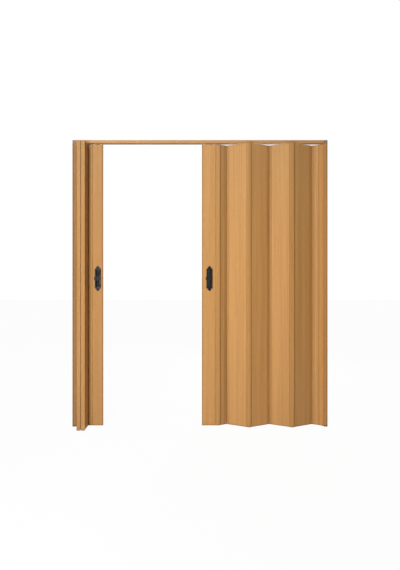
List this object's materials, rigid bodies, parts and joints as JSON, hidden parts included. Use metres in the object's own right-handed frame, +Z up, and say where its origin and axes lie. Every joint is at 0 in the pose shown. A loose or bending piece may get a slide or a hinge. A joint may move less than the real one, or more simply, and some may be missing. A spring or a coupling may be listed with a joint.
{
  "type": "accordion door",
  "caption": "Double accordion door: hollow slats joined by snap-in hinge strips, hung on gliders from a head track between the jambs, with a latched lead post on each leaf.",
  "frame": {"origin": "middle of the head track's top face, which is screwed to the head of the doorway", "axes": "+X along the track to the right, +Y to the back, +Z up"},
  "size_m": [1.87, 0.1717, 2.1],
  "materials": {
    "slat_wood_grain": "printed honey wood grain on satin plastic",
    "strip_wood_grain": "printed honey wood grain on satin plastic, slightly darker",
    "frame_wood_grain": "printed honey wood grain on satin plastic",
    "corner_plastic": "moulded grey-brown plastic",
    "handle_black": "satin black moulded plastic",
    "nylon": "natural nylon",
    "zinc_steel": "zinc plated"
  },
  "bodies": {
    "frame": {"head_track": "frame_wood_grain", "corner_block_left": "corner_plastic", "corner_block_right": "corner_plastic", "corner_screws": "zinc_steel", "jamb_left": "frame_wood_grain", "jamb_right": "frame_wood_grain", "jamb_strip_left": "strip_wood_grain", "jamb_strip_right": "strip_wood_grain"},
    "left_half_slat_a": {"left_half_slat_a": "slat_wood_grain"},
    "left_hinge_strip_1": {"left_hinge_strip_1": "strip_wood_grain"},
    "left_slat_1": {"left_slat_1": "slat_wood_grain", "left_glider_1": "nylon"},
    "left_hinge_strip_2": {"left_hinge_strip_2": "strip_wood_grain"},
    "left_slat_2": {"left_slat_2": "slat_wood_grain", "left_glider_2": "nylon"},
    "left_hinge_strip_3": {"left_hinge_strip_3": "strip_wood_grain"},
    "left_slat_3": {"left_slat_3": "slat_wood_grain", "left_glider_3": "nylon"},
    "left_hinge_strip_4": {"left_hinge_strip_4": "strip_wood_grain"},
    "left_slat_4": {"left_slat_4": "slat_wood_grain", "left_glider_4": "nylon"},
    "left_hinge_strip_5": {"left_hinge_strip_5": "strip_wood_grain"},
    "left_half_slat_b": {"left_half_slat_b": "slat_wood_grain"},
    "left_lead": {"left_lead_post": "slat_wood_grain", "left_lead_strip": "strip_wood_grain", "left_lead_gliders": "nylon", "left_handle_front": "handle_black", "left_handle_back": "handle_black", "left_handle_screws": "handle_black"},
    "left_latch": {"left_thumb_slide_front": "handle_black", "left_thumb_slide_back": "handle_black", "left_latch_bolt": "zinc_steel"},
    "right_half_slat_a": {"right_half_slat_a": "slat_wood_grain"},
    "right_hinge_strip_1": {"right_hinge_strip_1": "strip_wood_grain"},
    "right_slat_1": {"right_slat_1": "slat_wood_grain", "right_glider_1": "nylon"},
    "right_hinge_strip_2": {"right_hinge_strip_2": "strip_wood_grain"},
    "right_slat_2": {"right_slat_2": "slat_wood_grain", "right_glider_2": "nylon"},
    "right_hinge_strip_3": {"right_hinge_strip_3": "strip_wood_grain"},
    "right_slat_3": {"right_slat_3": "slat_wood_grain", "right_glider_3": "nylon"},
    "right_hinge_strip_4": {"right_hinge_strip_4": "strip_wood_grain"},
    "right_slat_4": {"right_slat_4": "slat_wood_grain", "right_glider_4": "nylon"},
    "right_hinge_strip_5": {"right_hinge_strip_5": "strip_wood_grain"},
    "right_half_slat_b": {"right_half_slat_b": "slat_wood_grain"},
    "right_lead": {"right_lead_post": "slat_wood_grain", "right_lead_strip": "strip_wood_grain", "right_lead_gliders": "nylon", "right_handle_front": "handle_black", "right_handle_back": "handle_black", "right_handle_screws": "handle_black"},
    "right_latch": {"right_thumb_slide_front": "handle_black", "right_thumb_slide_back": "handle_black", "right_latch_bolt": "zinc_steel"}
  },
  "joints": [
    {"name": "left_leaf_fold", "type": "hinge", "parent": "frame", "child": "left_half_slat_a", "pos_m": [-0.88725, 0, -1.05], "axis": [0, 0, 1], "range_deg": [-72.88, 0]},
    {"name": "left_hinge_2", "type": "hinge", "parent": "left_half_slat_a", "child": "left_hinge_strip_1", "pos_m": [-0.88615, 0.05715, -1.05], "axis": [0, 0, 1], "range_deg": [-1, 73.88]},
    {"name": "left_hinge_3", "type": "hinge", "parent": "left_hinge_strip_1", "child": "left_slat_1", "pos_m": [-0.87365, 0.05715, -1.05], "axis": [0, 0, 1], "range_deg": [-1, 73.88]},
    {"name": "left_hinge_4", "type": "hinge", "parent": "left_slat_1", "child": "left_hinge_strip_2", "pos_m": [-0.87064, -0.09982, -1.05], "axis": [0, 0, 1], "range_deg": [-73.88, 1]},
    {"name": "left_hinge_5", "type": "hinge", "parent": "left_hinge_strip_2", "child": "left_slat_2", "pos_m": [-0.85814, -0.09982, -1.05], "axis": [0, 0, 1], "range_deg": [-73.88, 1]},
    {"name": "left_hinge_6", "type": "hinge", "parent": "left_slat_2", "child": "left_hinge_strip_3", "pos_m": [-0.85512, 0.05715, -1.05], "axis": [0, 0, 1], "range_deg": [-1, 73.88]},
    {"name": "left_hinge_7", "type": "hinge", "parent": "left_hinge_strip_3", "child": "left_slat_3", "pos_m": [-0.84262, 0.05715, -1.05], "axis": [0, 0, 1], "range_deg": [-1, 73.88]},
    {"name": "left_hinge_8", "type": "hinge", "parent": "left_slat_3", "child": "left_hinge_strip_4", "pos_m": [-0.83961, -0.09982, -1.05], "axis": [0, 0, 1], "range_deg": [-73.88, 1]},
    {"name": "left_hinge_9", "type": "hinge", "parent": "left_hinge_strip_4", "child": "left_slat_4", "pos_m": [-0.82711, -0.09982, -1.05], "axis": [0, 0, 1], "range_deg": [-73.88, 1]},
    {"name": "left_hinge_10", "type": "hinge", "parent": "left_slat_4", "child": "left_hinge_strip_5", "pos_m": [-0.8241, 0.05715, -1.05], "axis": [0, 0, 1], "range_deg": [-1, 73.88]},
    {"name": "left_hinge_11", "type": "hinge", "parent": "left_hinge_strip_5", "child": "left_half_slat_b", "pos_m": [-0.8116, 0.05715, -1.05], "axis": [0, 0, 1], "range_deg": [-1, 73.88]},
    {"name": "left_hinge_12", "type": "hinge", "parent": "left_half_slat_b", "child": "left_lead", "pos_m": [-0.8105, 0, -1.05], "axis": [0, 0, 1], "range_deg": [-73.88, 1]},
    {"name": "left_latch_slide", "type": "slide", "parent": "left_lead", "child": "left_latch", "axis": [1, 0, 0], "range_m": [0, 0.014]},
    {"name": "right_leaf_fold", "type": "hinge", "parent": "frame", "child": "right_half_slat_a", "pos_m": [0.88725, 0, -1.05], "axis": [0, 0, -1], "range_deg": [-6.48, 66.4]},
    {"name": "right_hinge_2", "type": "hinge", "parent": "right_half_slat_a", "child": "right_hinge_strip_1", "pos_m": [0.83444, 0.02187, -1.05], "axis": [0, 0, -1], "range_deg": [-67.4, 7.48]},
    {"name": "right_hinge_3", "type": "hinge", "parent": "right_hinge_strip_1", "child": "right_slat_1", "pos_m": [0.82194, 0.02187, -1.05], "axis": [0, 0, -1], "range_deg": [-67.4, 7.48]},
    {"name": "right_hinge_4", "type": "hinge", "parent": "right_slat_1", "child": "right_hinge_strip_2", "pos_m": [0.67689, -0.03821, -1.05], "axis": [0, 0, -1], "range_deg": [-7.48, 67.4]},
    {"name": "right_hinge_5", "type": "hinge", "parent": "right_hinge_strip_2", "child": "right_slat_2", "pos_m": [0.66439, -0.03821, -1.05], "axis": [0, 0, -1], "range_deg": [-7.48, 67.4]},
    {"name": "right_hinge_6", "type": "hinge", "parent": "right_slat_2", "child": "right_hinge_strip_3", "pos_m": [0.51935, 0.02187, -1.05], "axis": [0, 0, -1], "range_deg": [-67.4, 7.48]},
    {"name": "right_hinge_7", "type": "hinge", "parent": "right_hinge_strip_3", "child": "right_slat_3", "pos_m": [0.50685, 0.02187, -1.05], "axis": [0, 0, -1], "range_deg": [-67.4, 7.48]},
    {"name": "right_hinge_8", "type": "hinge", "parent": "right_slat_3", "child": "right_hinge_strip_4", "pos_m": [0.3618, -0.03821, -1.05], "axis": [0, 0, -1], "range_deg": [-7.48, 67.4]},
    {"name": "right_hinge_9", "type": "hinge", "parent": "right_hinge_strip_4", "child": "right_slat_4", "pos_m": [0.3493, -0.03821, -1.05], "axis": [0, 0, -1], "range_deg": [-7.48, 67.4]},
    {"name": "right_hinge_10", "type": "hinge", "parent": "right_slat_4", "child": "right_hinge_strip_5", "pos_m": [0.20425, 0.02187, -1.05], "axis": [0, 0, -1], "range_deg": [-67.4, 7.48]},
    {"name": "right_hinge_11", "type": "hinge", "parent": "right_hinge_strip_5", "child": "right_half_slat_b", "pos_m": [0.19175, 0.02187, -1.05], "axis": [0, 0, -1], "range_deg": [-67.4, 7.48]},
    {"name": "right_hinge_12", "type": "hinge", "parent": "right_half_slat_b", "child": "right_lead", "pos_m": [0.13894, 0, -1.05], "axis": [0, 0, -1], "range_deg": [-7.48, 67.4]},
    {"name": "right_latch_slide", "type": "slide", "parent": "right_lead", "child": "right_latch", "axis": [-1, 0, 0], "range_m": [0, 0.014]}
  ],
  "couplings": [
    {"joint": "left_hinge_2", "follows": "left_leaf_fold", "ratio": -1},
    {"joint": "left_hinge_3", "follows": "left_leaf_fold", "ratio": -1},
    {"joint": "left_hinge_4", "follows": "left_leaf_fold", "ratio": 1},
    {"joint": "left_hinge_5", "follows": "left_leaf_fold", "ratio": 1},
    {"joint": "left_hinge_6", "follows": "left_leaf_fold", "ratio": -1},
    {"joint": "left_hinge_7", "follows": "left_leaf_fold", "ratio": -1},
    {"joint": "left_hinge_8", "follows": "left_leaf_fold", "ratio": 1},
    {"joint": "left_hinge_9", "follows": "left_leaf_fold", "ratio": 1},
    {"joint": "left_hinge_10", "follows": "left_leaf_fold", "ratio": -1},
    {"joint": "left_hinge_11", "follows": "left_leaf_fold", "ratio": -1},
    {"joint": "left_hinge_12", "follows": "left_leaf_fold", "ratio": 1},
    {"joint": "right_hinge_2", "follows": "right_leaf_fold", "ratio": -1},
    {"joint": "right_hinge_3", "follows": "right_leaf_fold", "ratio": -1},
    {"joint": "right_hinge_4", "follows": "right_leaf_fold", "ratio": 1},
    {"joint": "right_hinge_5", "follows": "right_leaf_fold", "ratio": 1},
    {"joint": "right_hinge_6", "follows": "right_leaf_fold", "ratio": -1},
    {"joint": "right_hinge_7", "follows": "right_leaf_fold", "ratio": -1},
    {"joint": "right_hinge_8", "follows": "right_leaf_fold", "ratio": 1},
    {"joint": "right_hinge_9", "follows": "right_leaf_fold", "ratio": 1},
    {"joint": "right_hinge_10", "follows": "right_leaf_fold", "ratio": -1},
    {"joint": "right_hinge_11", "follows": "right_leaf_fold", "ratio": -1},
    {"joint": "right_hinge_12", "follows": "right_leaf_fold", "ratio": 1}
  ]
}
